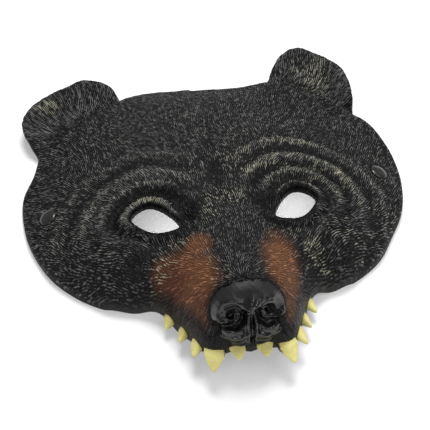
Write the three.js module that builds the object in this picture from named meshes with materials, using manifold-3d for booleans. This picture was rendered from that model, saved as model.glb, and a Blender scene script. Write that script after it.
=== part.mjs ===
// Bear half mask of moulded foam: brow, two cupped ears, eye openings, snout with nose and upper teeth.
// It lies on its rim. X runs across the face, +Y towards the ears, +Z out of the face, in millimetres.
import * as THREE from 'three';
import { mergeVertices } from 'three/addons/utils/BufferGeometryUtils.js';
import Module from 'manifold-3d';

const wasm = await Module();
wasm.setup();
const { Manifold, Mesh } = wasm;

// Driving sizes
const faceWidth = 221;        // across the cheeks
const browReach = 95;         // from the middle of the face to the brow edge
const chinReach = 105;        // from the middle of the face to the front of the lip
const bridgeHeight = 50;      // table to the bridge of the snout
const wall = 3.4;             // foam thickness
const skinStep = 4;           // facet size of the outer face
const backStep = 7.3;          // facet size of the inner face
const fit = 0.3;              // clearance between pieces

const earWidth = 62.4;        // along the ear's root
const earRise = 29.8;         // root to the top of the ear
const earTilt = 35;           // degrees the root leans down towards the cheek
const earRim = 12;            // height of the ear's rim above the table
const earBowl = 6.5;          // depth of the hollow in the ear
const earCrease = 0.8;        // depth of the crease along the root
const snoutSkew = 4;          // how far the lying mask's right cheek slips down past its left one
const edgeSlump = 4.2;        // how far its soft edge has slumped at most

const eyeWidth = 25.3;        // corner to corner
const rightEyeHeight = 20.5;  // lid to lid
const leftEyeHeight = 22;
const foldRise = 2;           // height of the lid's ridge
const foldPitch = 12.5;       // distance between the folds round the eye
const furrowDepth = 1.4;      // dent between the brows
const furrowWidth = 9;

const noseWidth = 39;
const noseHeight = 38;
const noseBulge = 4;          // how far the nose stands in front of its middle plane
const nosePitch = 56;         // degrees between the table and the front of the nose
const noseSeat = 8;           // depth of the seat pressed into the snout
const noseSeatRim = 1.5;      // how far the seat starts inside the nose's edge
const nostrilWidth = 9;
const noseEdge = 2.2;         // how far the front rounds off towards its edge

const canineLength = 10.5;
const canineWidth = 12.4;
const toothSeat = 2;          // how far a tooth's root is set back inside the lip

const rivetCap = 10.7;        // diameter of the domed cap
const rivetDome = 1.7;
const rivetPost = 3.2;        // diameter
const rivetBack = 10;         // diameter of the flat head behind
const rivetBackThickness = 1.2;
const rivetSink = 0.4;        // how deep the cap and the back head press into the foam

const halfWidth = faceWidth / 2;
const along = (share) => share * (share > 0 ? browReach : chinReach);

// Plan outline of the right half, from the middle of the brow round the cheek to the middle of the lip
const faceOutline = [
  { across: 0, along: 1.0 },
  { across: 0.13, along: 0.997 },
  { across: 0.28, along: 0.992 },
  { across: 0.42, along: 0.965 },
  { across: 0.62, along: 0.84 },
  { across: 0.81, along: 0.68 },
  { across: 0.885, along: 0.56 },
  { across: 0.978, along: 0.335 },
  { across: 1.0, along: 0.18 },
  { across: 0.994, along: 0 },
  { across: 0.95, along: -0.165 },
  { across: 0.872, along: -0.302 },
  { across: 0.775, along: -0.45 },
  { across: 0.63, along: -0.555 },
  { across: 0.509, along: -0.6 },
  { across: 0.415, along: -0.625, name: 'mouth corner' },
  { across: 0.363, along: -0.672 },
  { across: 0.312, along: -0.77 },
  { across: 0.266, along: -0.872 },
  { across: 0.23, along: -0.95 },
  { across: 0.182, along: -0.99 },
  { across: 0.109, along: -0.983 },
  { across: 0, along: -0.986 },
];

// Outline of the right ear seen square on: along its root, and out from the root
const earOutline = [
  { root: -1.0, out: 0 },
  { root: -1.03, out: 0.31 },
  { root: -0.975, out: 0.65 },
  { root: -0.765, out: 0.93 },
  { root: -0.44, out: 0.97 },
  { root: -0.065, out: 1.0 },
  { root: 0.35, out: 0.925 },
  { root: 0.69, out: 0.64 },
  { root: 0.85, out: 0.31 },
  { root: 0.9, out: 0 },
  { root: 0.7, out: -0.45 },
  { root: 0, out: -0.55 },
  { root: -0.7, out: -0.45 },
];
const earRoot = { across: 0.647, along: 0.78 };
// Outward shares of earRise: where the ear grows out of the brow, its crease and how wide its hollow slopes
const earBlend = { start: -0.06, end: 0.3, creaseAt: 0.04, creaseSpread: 0.13, bowlSlope: 0.55 };

// Slumps of the soft edge in shares of edgeSlump: to the right; tilt is up on the right, down on the left
const slumps = [
  { name: 'brow', across: 0.28, along: 0.98, spread: 0.2, toRight: 0, tilt: -0.65 },
  { name: 'ear top', across: 0.54, along: 1.08, spread: 0.2, toRight: 0.95, tilt: 0.7 },
  { name: 'ear edge', across: 0.89, along: 0.78, spread: 0.17, toRight: -1, tilt: -0.38 },
  { name: 'upper cheek', across: 0.93, along: 0.5, spread: 0.13, toRight: 0.14, tilt: 0.85 },
  { name: 'lower cheek', across: 0.68, along: -0.54, spread: 0.25, toRight: -0.69, tilt: -0.15 },
];

// Almond of the eye opening, from the inner corner over the upper lid and back; up is from the lower lid
const lowerLid = { across: 0.352, along: -0.358 };
const eyeOutline = [
  { across: -0.5, up: 0.08 },
  { across: -0.27, up: 0.67 },
  { across: 0.06, up: 1.0 },
  { across: 0.33, up: 0.9 },
  { across: 0.5, up: 0.64 },
  { across: 0.36, up: 0.31 },
  { across: 0.07, up: 0.04 },
  { across: -0.25, up: 0 },
];

// Height of the head, as shares of bridgeHeight: a row for each section across, a column for each station
const stations = [0, 0.09, 0.18, 0.27, 0.36, 0.47, 0.6, 0.725, 0.86, 1.015];
const sections = [
  { along: -1.1, heights: [0, 0, -0.1, -0.3, -0.5, -0.6, -0.7, -0.8, -0.8, -0.8] },
  { along: -1.0, heights: [0.39, 0.39, 0.37, 0.12, -0.4, -0.6, -0.7, -0.8, -0.8, -0.8] },
  { along: -0.935, heights: [0.76, 0.73, 0.58, 0.24, -0.3, -0.5, -0.6, -0.7, -0.8, -0.8] },
  { along: -0.84, heights: [1.03, 1.0, 0.8, 0.4, -0.12, -0.4, -0.6, -0.7, -0.8, -0.8] },
  { along: -0.715, heights: [1.09, 1.07, 0.94, 0.62, 0.14, -0.16, -0.4, -0.6, -0.7, -0.8] },
  { along: -0.57, heights: [1.01, 1.0, 0.92, 0.75, 0.54, 0.29, 0.16, -0.16, -0.4, -0.6] },
  { along: -0.44, heights: [0.94, 0.93, 0.88, 0.77, 0.7, 0.62, 0.48, 0.25, -0.08, -0.4] },
  { along: -0.305, heights: [0.86, 0.85, 0.82, 0.78, 0.76, 0.72, 0.62, 0.44, 0.17, -0.16] },
  { along: -0.17, heights: [0.78, 0.78, 0.77, 0.76, 0.74, 0.71, 0.62, 0.47, 0.27, 0] },
  { along: 0, heights: [0.72, 0.72, 0.72, 0.71, 0.7, 0.66, 0.56, 0.42, 0.27, 0.06] },
  { along: 0.21, heights: [0.64, 0.64, 0.64, 0.64, 0.62, 0.56, 0.46, 0.34, 0.21, 0.06] },
  { along: 0.42, heights: [0.54, 0.54, 0.54, 0.53, 0.51, 0.46, 0.38, 0.28, 0.17, 0.03] },
  { along: 0.63, heights: [0.41, 0.41, 0.4, 0.39, 0.37, 0.34, 0.29, 0.22, 0.11, -0.04] },
  { along: 0.84, heights: [0.25, 0.25, 0.25, 0.24, 0.24, 0.23, 0.22, 0.18, 0.1, 0] },
  { along: 1.02, heights: [0.08, 0.08, 0.08, 0.08, 0.1, 0.14, 0.16, 0.14, 0.08, 0] },
  { along: 1.26, heights: [0, 0, 0, 0, 0.04, 0.08, 0.1, 0.08, 0.04, 0] },
];

// Folds round the eye, outward from the opening: distance in foldPitch, rise in foldRise
const upperFolds = [
  { reach: 0, rise: 0.7 },
  { reach: 0.28, rise: 1.0 },
  { reach: 0.76, rise: -1.0 },
  { reach: 1.28, rise: 0.45 },
  { reach: 1.6, rise: -0.25 },
  { reach: 2.1, rise: 0.85 },
  { reach: 2.6, rise: -0.55 },
  { reach: 3.1, rise: 0.4 },
  { reach: 3.7, rise: 0 },
];
const lowerFolds = [
  { reach: 0, rise: 0.6 },
  { reach: 0.16, rise: 0.7 },
  { reach: 0.44, rise: -0.45 },
  { reach: 0.8, rise: 0.15 },
  { reach: 1.2, rise: 0 },
];

// Degrees round the eye, outer corner to inner corner, over which the upper folds fade in and out
const foldFan = { start: -45, full: -10, waning: 125, end: 165 };
// Dent at the inner corner of the eye, in eye widths
const eyeDent = { inward: 0.72, up: 0.08, acrossSpread: 0.24, upSpread: 0.36 };
const furrow = { start: -0.2, full: 0, waning: 0.4, end: 0.7 };

// Nose seen square on: half outline from its top to the notch under it, and the crest of its profile
const noseMiddle = { along: -0.916, height: 0.765 };
const noseOutline = [
  { across: 0, up: 1.0 },
  { across: 0.43, up: 0.93 },
  { across: 0.79, up: 0.64 },
  { across: 0.97, up: 0.26 },
  { across: 1.0, up: -0.08 },
  { across: 0.945, up: -0.42 },
  { across: 0.78, up: -0.74 },
  { across: 0.49, up: -0.96 },
  { across: 0.2, up: -0.99 },
  { across: 0, up: -0.91 },
];
const noseCrest = [
  { up: -1.0, out: 0.3 },
  { up: -0.5, out: 0.75 },
  { up: 0, out: 0.95 },
  { up: 0.3, out: 1.0 },
  { up: 0.65, out: 0.85 },
  { up: 1.0, out: 0.4 },
];
const nostril = { across: 0.5, up: -0.16, width: 1, height: 1.15, depth: 0.5 };
const noseRings = [0.35, 0.65, 0.85, 0.96, 1];

// Upper teeth of the right half, outward from the middle: place along the lip, size in canines, and lean
const teeth = [
  { name: 'incisor', place: 0.105, width: 0.78, length: 0.56, splay: 0.05, drop: 0.12 },
  { name: 'canine', place: 0.285, width: 0.92, length: 1.0, splay: 0.25, drop: 0.3 },
  { name: 'fang_front', place: 0.475, width: 0.62, length: 0.72, splay: 0.42, drop: 0.3 },
  { name: 'fang_middle', place: 0.66, width: 0.56, length: 0.6, splay: 0.5, drop: 0.25 },
  { name: 'fang_back', place: 0.845, width: 0.6, length: 0.62, splay: 0.45, drop: 0.2 },
];
const toothProfile = [
  { reach: 0, size: 1 },
  { reach: 0.3, size: 0.95 },
  { reach: 0.65, size: 0.55 },
  { reach: 0.93, size: 0.2 },
  { reach: 1, size: 0.08 },
];
const toothSides = 10;
const toothDepth = 0.8;       // share of the lip's thickness

const rivetPlace = { across: 0.872, along: 0.055 };
const rivetSides = 16;
const domeProfile = [
  { radius: 1, rise: 0.35 },
  { radius: 0.86, rise: 0.75 },
  { radius: 0.55, rise: 0.95 },
  { radius: 0, rise: 1 },
];

function smooth(from, to, value) {
  const t = Math.min(Math.max((value - from) / (to - from), 0), 1);
  return t * t * (3 - 2 * t);
}

// Cubic curve through the values at the knots, held level beyond both ends
function curve(knots, values, at) {
  const last = knots.length - 1;
  if (at <= knots[0]) return values[0];
  if (at >= knots[last]) return values[last];
  let i = 0;
  while (at > knots[i + 1]) i += 1;
  const slope = (k) => {
    const before = Math.max(k - 1, 0);
    const after = Math.min(k + 1, last);
    return (values[after] - values[before]) / (knots[after] - knots[before]);
  };
  const span = knots[i + 1] - knots[i];
  const t = (at - knots[i]) / span;
  const start = (1 + 2 * t) * (1 - t) ** 2 * values[i] + t * (1 - t) ** 2 * span * slope(i);
  const end = t * t * (3 - 2 * t) * values[i + 1] + t * t * (t - 1) * span * slope(i + 1);
  return start + end;
}

function tableCurve(rows, place, value, at) {
  return curve(rows.map((row) => row[place]), rows.map((row) => row[value]), at);
}

function closedCurve(points, perSpan) {
  const corners = points.map((p) => new THREE.Vector3(p.x, p.y, 0));
  const loop = new THREE.CatmullRomCurve3(corners, true, 'centripetal').getPoints(points.length * perSpan);
  loop.pop();
  return loop.map((p) => new THREE.Vector2(p.x, p.y));
}

// Right half and its mirror image joined into one closed list; both ends lie on the middle line
function mirrored(half) {
  const left = half.slice(1, -1).reverse().map((p) => new THREE.Vector2(-p.x, p.y));
  return [...half, ...left];
}

// Distance from a point to a closed line, positive inside it
function insideDistance(loop, x, y) {
  let nearest = Infinity;
  let inside = false;
  loop.forEach((a, i) => {
    const b = loop[(i + 1) % loop.length];
    const run = new THREE.Vector2(b.x - a.x, b.y - a.y);
    const t = THREE.MathUtils.clamp(((x - a.x) * run.x + (y - a.y) * run.y) / run.lengthSq(), 0, 1);
    nearest = Math.min(nearest, Math.hypot(x - a.x - t * run.x, y - a.y - t * run.y));
    if ((a.y > y) !== (b.y > y) && x < a.x + ((y - a.y) / run.y) * run.x) inside = !inside;
  });
  return inside ? nearest : -nearest;
}

// Outlines in the plan
const perSpan = 3;
const faceHalf = faceOutline.map((p) => new THREE.Vector2(p.across * halfWidth, along(p.along)));
const faceLoop = closedCurve(mirrored(faceHalf), perSpan);
const mouthCorner = faceOutline.findIndex((p) => p.name === 'mouth corner');
const rightLip = faceLoop.slice(mouthCorner * perSpan, (faceOutline.length - 1) * perSpan + 1).reverse();

const earAngle = THREE.MathUtils.degToRad(earTilt);
const earCentre = new THREE.Vector2(earRoot.across * halfWidth, along(earRoot.along));
const earAlong = new THREE.Vector2(Math.cos(earAngle), -Math.sin(earAngle));
const earOut = new THREE.Vector2(Math.sin(earAngle), Math.cos(earAngle));
const earLoop = closedCurve(earOutline.map((p) => earCentre.clone()
  .addScaledVector(earAlong, (p.root * earWidth) / 2)
  .addScaledVector(earOut, p.out * earRise)), perSpan);

// Each eye as if on the right side, with the middle of its opening
function eyeOpening(height) {
  const lid = new THREE.Vector2(lowerLid.across * halfWidth, along(lowerLid.along));
  const corners = eyeOutline.map((p) => (
    new THREE.Vector2(lid.x + p.across * eyeWidth, lid.y + p.up * height)));
  return { loop: closedCurve(corners, perSpan), middle: lid.clone().setY(lid.y + height / 2) };
}

const rightEye = eyeOpening(rightEyeHeight);
const leftEye = eyeOpening(leftEyeHeight);

// Height of the bare head over the table
function headHeight(x, y) {
  const knots = [-stations[1], ...stations].map((s) => s * halfWidth);
  const rows = sections.map((row) => (
    curve(knots, [row.heights[1], ...row.heights], Math.abs(x)) * bridgeHeight));
  return curve(sections.map((row) => along(row.along)), rows, y);
}

// The cupped ear: its rim stands up and the hollow lies between the rim and the crease at the root
function withEars(height, x, y) {
  const place = new THREE.Vector2(Math.abs(x), y).sub(earCentre);
  const out = place.dot(earOut) / earRise;
  if (out < -1 || Math.abs(place.dot(earAlong)) > earWidth) return height;
  const edge = insideDistance(earLoop, Math.abs(x), y);
  const ear = earRim - earBowl * smooth(0, earRise * earBlend.bowlSlope, edge);
  const crease = earCrease * Math.exp(-(((out - earBlend.creaseAt) / earBlend.creaseSpread) ** 2));
  const inBrow = 1 - smooth(earWidth / 2, earWidth * 0.6, Math.abs(place.dot(earAlong)));
  return THREE.MathUtils.lerp(height, ear, smooth(earBlend.start, earBlend.end, out)) - crease * inBrow;
}

// Place on the nose's middle plane of a point: across, up and how far in front of it
const noseAngle = THREE.MathUtils.degToRad(nosePitch);
const noseCentre = new THREE.Vector3(0, along(noseMiddle.along), noseMiddle.height * bridgeHeight);
const noseUp = new THREE.Vector3(0, Math.cos(noseAngle), Math.sin(noseAngle));
const noseOut = new THREE.Vector3(0, -Math.sin(noseAngle), Math.cos(noseAngle));
const noseLoop = closedCurve(mirrored(noseOutline.map((p) => (
  new THREE.Vector2((p.across * noseWidth) / 2, (p.up * noseHeight) / 2)))), perSpan);

function withNoseSeat(height, x, y) {
  if (Math.abs(x) > noseWidth || y > along(-0.7)) return height;
  const up = new THREE.Vector3(x, y, height).sub(noseCentre).dot(noseUp);
  return height - noseSeat * smooth(noseSeatRim, noseSeat * 1.25, insideDistance(noseLoop, x, up));
}

function formHeight(x, y) {
  return withNoseSeat(withEars(headHeight(x, y), x, y), x, y);
}

// Lids and folds round the eyes, the hollow at the inner corners and the furrow between the brows
function foldHeight(x, y) {
  const side = Math.abs(x);
  const eye = x > 0 ? rightEye : leftEye;
  const reach = -insideDistance(eye.loop, side, y) / foldPitch;
  const angle = THREE.MathUtils.radToDeg(Math.atan2(y - eye.middle.y, side - eye.middle.x));
  const upper = smooth(foldFan.start, foldFan.full, angle) * (1 - smooth(foldFan.waning, foldFan.end, angle));
  const fade = THREE.MathUtils.lerp(1, smooth(0.04, 0.18, side / halfWidth), smooth(0.5, 1, reach));
  const over = tableCurve(upperFolds, 'reach', 'rise', Math.max(reach, 0)) * upper * fade;
  const under = tableCurve(lowerFolds, 'reach', 'rise', Math.max(reach, 0)) * (1 - upper);
  const inward = (side - eye.middle.x) / eyeWidth + eyeDent.inward;
  const upward = (y - eye.middle.y) / eyeWidth - eyeDent.up;
  const dent = Math.exp(-((inward / eyeDent.acrossSpread) ** 2) - ((upward / eyeDent.upSpread) ** 2));
  const length = smooth(furrow.start, furrow.full, y / browReach)
    * (1 - smooth(furrow.waning, furrow.end, y / browReach));
  return foldRise * (over + under - dent)
    - furrowDepth * length * Math.exp(-((side / (furrowWidth / 2)) ** 2));
}

// How much taller than thick the wall stands at a place, from the slope there
function steepness(surface, x, y) {
  const reach = wall * 0.44;
  const slopeX = (surface(x + reach, y) - surface(x - reach, y)) / (2 * reach);
  const slopeY = (surface(x, y + reach) - surface(x, y - reach)) / (2 * reach);
  return Math.hypot(1, slopeX, slopeY);
}

const outerSkin = (x, y) => formHeight(x, y) + foldHeight(x, y);
const innerSkin = (x, y) => formHeight(x, y) - wall * steepness(formHeight, x, y);
const noseClearance = (x, y) => outerSkin(x, y) + fit * steepness(outerSkin, x, y);

function solidOf(geometry) {
  const bare = geometry.clone();
  bare.deleteAttribute('normal');
  bare.deleteAttribute('uv');
  const merged = mergeVertices(bare, 1e-4);
  const vertProperties = new Float32Array(merged.attributes.position.array);
  const triVerts = new Uint32Array(merged.index.array);
  return new Manifold(new Mesh({ numProp: 3, vertProperties, triVerts }));
}

function geometryOf(solid) {
  const { vertProperties, triVerts } = solid.getMesh();
  const geometry = new THREE.BufferGeometry();
  geometry.setAttribute('position', new THREE.BufferAttribute(new Float32Array(vertProperties), 3));
  geometry.setIndex(new THREE.BufferAttribute(new Uint32Array(triVerts), 1));
  geometry.computeVertexNormals();
  return geometry;
}

const ceiling = bridgeHeight * 2;             // clear above every piece
const cellar = -bridgeHeight;                 // clear below every skin

// Closed block between a level floor and a surface over the whole plan
function blockUnder(surface, step, floor) {
  const margin = step * 1.5;
  const left = -halfWidth - margin;
  const front = -chinReach - margin;
  const back = Math.max(...earLoop.map((p) => p.y)) + margin;
  const columns = Math.ceil((-2 * left) / step);
  const rows = Math.ceil((back - front) / step);
  const positions = [];
  const index = [];
  const layer = (columns + 1) * (rows + 1);
  for (const top of [false, true]) {
    for (let j = 0; j <= rows; j += 1) {
      for (let i = 0; i <= columns; i += 1) {
        const x = left + (i * -2 * left) / columns;
        const y = front + (j * (back - front)) / rows;
        positions.push(x, y, top ? Math.max(surface(x, y), floor + step) : floor);
      }
    }
  }
  const at = (i, j) => j * (columns + 1) + i;
  const quad = (a, b, c, d) => index.push(a, b, c, a, c, d);
  for (let j = 0; j < rows; j += 1) {
    for (let i = 0; i < columns; i += 1) {
      const [a, b, c, d] = [at(i, j), at(i + 1, j), at(i + 1, j + 1), at(i, j + 1)];
      const falling = (i < columns / 2) === (j < rows / 2);
      if (falling) index.push(a + layer, b + layer, c + layer, a + layer, c + layer, d + layer);
      else index.push(a + layer, b + layer, d + layer, b + layer, c + layer, d + layer);
      quad(d, c, b, a);
    }
  }
  for (let i = 0; i < columns; i += 1) {
    quad(at(i, 0), at(i + 1, 0), at(i + 1, 0) + layer, at(i, 0) + layer);
    quad(at(i + 1, rows), at(i, rows), at(i, rows) + layer, at(i + 1, rows) + layer);
  }
  for (let j = 0; j < rows; j += 1) {
    quad(at(0, j + 1), at(0, j), at(0, j) + layer, at(0, j + 1) + layer);
    quad(at(columns, j), at(columns, j + 1), at(columns, j + 1) + layer, at(columns, j) + layer);
  }
  const geometry = new THREE.BufferGeometry();
  geometry.setAttribute('position', new THREE.Float32BufferAttribute(positions, 3));
  geometry.setIndex(index);
  return solidOf(geometry);
}

// Upright prism over a closed line in the plan, on the right side or mirrored to the left
function prismOver(loop, side = 1, floor = 0) {
  const shape = new THREE.Shape(loop.map((p) => new THREE.Vector2(p.x * side, p.y)));
  const geometry = new THREE.ExtrudeGeometry(shape, { depth: ceiling - floor, bevelEnabled: false });
  return solidOf(geometry.translate(0, 0, floor));
}

// The closed line moved outward by a distance
function grown(loop, distance) {
  return loop.map((p, i) => {
    const before = loop[(i + loop.length - 1) % loop.length];
    const after = loop[(i + 1) % loop.length];
    const run = new THREE.Vector2(after.x - before.x, after.y - before.y).normalize();
    const turn = THREE.ShapeUtils.isClockWise(loop) ? -1 : 1;
    return new THREE.Vector2(p.x + run.y * distance * turn, p.y - run.x * distance * turn);
  });
}

// Rivets: a domed cap, a post through the foam and a flat head behind, set square to the cheek
function rivetFrame(side) {
  const x = rivetPlace.across * halfWidth;
  const y = along(rivetPlace.along);
  const reach = rivetCap / 2;
  const slopeX = (outerSkin(x + reach, y) - outerSkin(x - reach, y)) / (2 * reach);
  const slopeY = (outerSkin(x, y + reach) - outerSkin(x, y - reach)) / (2 * reach);
  const normal = new THREE.Vector3(-slopeX * side, -slopeY, 1).normalize();
  const rim = [0, 90, 180, 270].map(THREE.MathUtils.degToRad)
    .map((turn) => outerSkin(x + reach * Math.cos(turn), y + reach * Math.sin(turn)));
  const level = rim.reduce((sum, height) => sum + height, 0) / rim.length;
  return { place: new THREE.Vector3(x * side, y, level), normal };
}

// Lathe profile about the rivet's own axis, turned so that the axis points out of the foam
function turned(profile, segments) {
  const points = profile.map(([radius, height]) => new THREE.Vector2(radius, height));
  return new THREE.LatheGeometry(points, segments).rotateX(Math.PI / 2);
}

function placed(geometry, frame) {
  const turn = new THREE.Quaternion().setFromUnitVectors(new THREE.Vector3(0, 0, 1), frame.normal);
  return geometry.clone().applyQuaternion(turn).translate(frame.place.x, frame.place.y, frame.place.z);
}

const grip = wall - 2 * rivetSink;            // foam left between the two heads

function rivetGeometry() {
  const cap = rivetCap / 2;
  const top = -rivetSink + fit;
  const bottom = -rivetSink - grip - fit;
  return turned([
    [0, bottom - rivetBackThickness], [rivetBack / 2, bottom - rivetBackThickness], [rivetBack / 2, bottom],
    [rivetPost / 2, bottom], [rivetPost / 2, top], [cap, top],
    ...domeProfile.map((p) => [cap * p.radius, top + rivetDome * p.rise]),
  ], rivetSides);
}

// What the rivet needs out of the foam: a bore and a shallow flat seat on each face
function rivetRoom() {
  const seat = rivetCap / 2 + fit;
  const back = rivetBack / 2 + fit;
  const bore = rivetPost / 2 + fit;
  const bottom = -rivetSink - grip;
  return turned([
    [0, bottom - wall * 2], [back, bottom - wall * 2], [back, bottom], [bore, bottom],
    [bore, -rivetSink], [seat, -rivetSink], [seat, wall], [0, wall],
  ], rivetSides);
}

function maskShell() {
  const plan = prismOver(faceLoop).add(prismOver(earLoop)).add(prismOver(earLoop, -1));
  let shell = blockUnder(outerSkin, skinStep, cellar).subtract(blockUnder(innerSkin, backStep, cellar * 1.5));
  shell = shell.intersect(plan);
  for (const [side, eye] of [[1, rightEye], [-1, leftEye]]) {
    shell = shell.subtract(prismOver(eye.loop, side, cellar));
    shell = shell.subtract(solidOf(placed(rivetRoom(), rivetFrame(side))));
  }
  return lying(geometryOf(shell));
}

// The soft mask as it lies: its snout skews, its right ear curls in and its left ear spreads
function lying(geometry) {
  const places = geometry.attributes.position;
  for (let i = 0; i < places.count; i += 1) {
    const x = places.getX(i);
    const y = places.getY(i);
    let toRight = 0;
    let tilt = (-snoutSkew * Math.abs(x) * smooth(0, 0.45, -y / chinReach)) / halfWidth;
    for (const slump of slumps) {
      const away = Math.hypot(Math.abs(x) - slump.across * halfWidth, y - along(slump.along));
      const share = Math.exp(-((away / (slump.spread * halfWidth)) ** 2));
      toRight += edgeSlump * slump.toRight * share;
      tilt += edgeSlump * slump.tilt * share;
    }
    places.setXY(i, x + toRight, y + tilt * Math.sign(x));
  }
  geometry.computeVertexNormals();
  return geometry;
}

// How far the nose stands out at a place inside its outline; ring runs from 0 in the middle to 1 at the edge
function noseBulgeAt(across, up, ring) {
  const crest = tableCurve(noseCrest, 'up', 'out', up);
  const sides = 1.3 * Math.abs(across) ** 2.2;
  return noseBulge * (crest - sides) - noseEdge * smooth(0.7, 1, ring);
}

function noseBody() {
  const root = -noseSeat * 2.5;
  const positions = [0, 0, noseBulgeAt(0, 0, 0)];
  const index = [];
  const count = noseLoop.length;
  for (const ring of noseRings) {
    for (const p of noseLoop) {
      const across = (p.x * ring) / (noseWidth / 2);
      const up = (p.y * ring) / (noseHeight / 2);
      positions.push(p.x * ring, p.y * ring, noseBulgeAt(across, up, ring));
    }
  }
  for (const p of noseLoop) positions.push(p.x, p.y, root);
  positions.push(0, 0, root);
  const at = (ring, i) => 1 + ring * count + (i % count);
  for (let i = 0; i < count; i += 1) {
    index.push(0, at(0, i + 1), at(0, i));
    for (let ring = 0; ring < noseRings.length; ring += 1) {
      index.push(at(ring, i), at(ring, i + 1), at(ring + 1, i + 1));
      index.push(at(ring, i), at(ring + 1, i + 1), at(ring + 1, i));
    }
    index.push(positions.length / 3 - 1, at(noseRings.length, i), at(noseRings.length, i + 1));
  }
  const geometry = new THREE.BufferGeometry();
  geometry.setAttribute('position', new THREE.Float32BufferAttribute(positions, 3));
  geometry.setIndex(index);
  return solidOf(geometry);
}

const noseMatrix = new THREE.Matrix4().makeBasis(new THREE.Vector3(1, 0, 0), noseUp, noseOut)
  .setPosition(noseCentre);

function noseBlank() {
  let body = noseBody();
  for (const side of [1, -1]) {
    const hole = new THREE.SphereGeometry(0.5, 16, 10)
      .scale(nostrilWidth * nostril.width, nostrilWidth * nostril.height, nostrilWidth * nostril.depth * 2)
      .translate((side * nostril.across * noseWidth) / 2, (nostril.up * noseHeight) / 2, noseBulge * 0.9);
    body = body.subtract(solidOf(hole));
  }
  return solidOf(geometryOf(body).applyMatrix4(noseMatrix));
}

const nose = noseBlank();
const belowNose = nose.translate(noseUp.clone().multiplyScalar(-fit).toArray());

function noseGeometry() {
  return lying(geometryOf(nose.subtract(blockUnder(noseClearance, skinStep, cellar))));
}

// Point on the lip's edge at a share of its length from the middle to the mouth corner
function lipPoint(share) {
  const steps = rightLip.slice(1).map((p, i) => p.distanceTo(rightLip[i]));
  let left = share * steps.reduce((sum, step) => sum + step, 0);
  let i = 0;
  while (left > steps[i]) {
    left -= steps[i];
    i += 1;
  }
  const place = rightLip[i].clone().lerp(rightLip[i + 1], left / steps[i]);
  const run = rightLip[i + 1].clone().sub(rightLip[i]).normalize();
  return { place, run };
}

// A fang: a rounded root lofted to a blunt tip, cut off at the lip's edge and clear of the nose
function toothGeometry(row, side) {
  const { place, run } = lipPoint(row.place);
  const width = row.width * canineWidth;
  const length = row.length * canineLength;
  const lipTop = outerSkin(place.x, place.y);
  const lipBottom = Math.max(innerSkin(place.x, place.y), 0);
  const thick = (lipTop - lipBottom) * toothDepth;
  const out = new THREE.Vector3(-run.y, run.x, 0).multiplyScalar(-1);
  if (out.y > 0) out.negate();
  const root = new THREE.Vector3(place.x, place.y, (lipTop + lipBottom) / 2).addScaledVector(out, -toothSeat);
  const tip = new THREE.Vector3(place.x + row.splay * length, place.y - length, root.z - row.drop * length);
  const across = new THREE.Vector2(root.y - tip.y, tip.x - root.x).normalize();
  const positions = [];
  const index = [];
  for (const { reach, size } of toothProfile) {
    const middle = root.clone().lerp(tip, reach);
    for (let k = 0; k < toothSides; k += 1) {
      const turn = (k / toothSides) * Math.PI * 2;
      const over = (Math.cos(turn) * width * size) / 2;
      const up = (Math.sin(turn) * thick * size) / 2;
      positions.push(middle.x + across.x * over, middle.y + across.y * over, middle.z + up);
    }
  }
  const at = (loop, k) => loop * toothSides + (k % toothSides);
  const end = toothProfile.length - 1;
  for (let k = 0; k < toothSides; k += 1) {
    for (let loop = 0; loop < end; loop += 1) {
      index.push(at(loop, k), at(loop, k + 1), at(loop + 1, k + 1));
      index.push(at(loop, k), at(loop + 1, k + 1), at(loop + 1, k));
    }
  }
  for (let k = 1; k < toothSides - 1; k += 1) {
    index.push(at(0, 0), at(0, k + 1), at(0, k));
    index.push(at(end, 0), at(end, k), at(end, k + 1));
  }
  const geometry = new THREE.BufferGeometry();
  geometry.setAttribute('position', new THREE.Float32BufferAttribute(positions, 3));
  geometry.setIndex(index);
  const tooth = solidOf(geometry).subtract(prismOver(grown(faceLoop, fit), 1, cellar)).subtract(belowNose);
  const cut = geometryOf(tooth);
  return lying(side === 1 ? cut : mirroredGeometry(cut));
}

function mirroredGeometry(geometry) {
  const copy = geometry.clone().scale(-1, 1, 1);
  const index = copy.index.array;
  for (let i = 0; i < index.length; i += 3) [index[i], index[i + 1]] = [index[i + 1], index[i]];
  copy.computeVertexNormals();
  return copy;
}

const foam = new THREE.MeshStandardMaterial({ color: 0x3a3937, roughness: 0.85 });
const toothPaint = new THREE.MeshStandardMaterial({ color: 0xd6cf86, roughness: 0.6 });
const noseGloss = new THREE.MeshStandardMaterial({ color: 0x17181a, roughness: 0.3 });
const capGloss = new THREE.MeshStandardMaterial({ color: 0x101010, roughness: 0.35 });

function mesh(name, geometry, material) {
  const piece = new THREE.Mesh(geometry, material);
  piece.name = name;
  return piece;
}

const mask = new THREE.Group();
mask.add(mesh('mask_shell', maskShell(), foam));
mask.add(mesh('nose', noseGeometry(), noseGloss));
for (const [side, word] of [[1, 'right'], [-1, 'left']]) {
  for (const row of teeth) mask.add(mesh(`tooth_${row.name}_${word}`, toothGeometry(row, side), toothPaint));
  const rivet = geometryOf(solidOf(placed(rivetGeometry(), rivetFrame(side))));
  mask.add(mesh(`rivet_${word}`, rivet, capGloss));
}

// The origin is in the middle of the mask's outline, on the table
mask.updateMatrixWorld(true);
const extent = new THREE.Box3().setFromObject(mask);
const middle = extent.getCenter(new THREE.Vector3());
mask.position.set(-middle.x, -middle.y, -extent.min.z);

export default mask;
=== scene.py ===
import math

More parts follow.
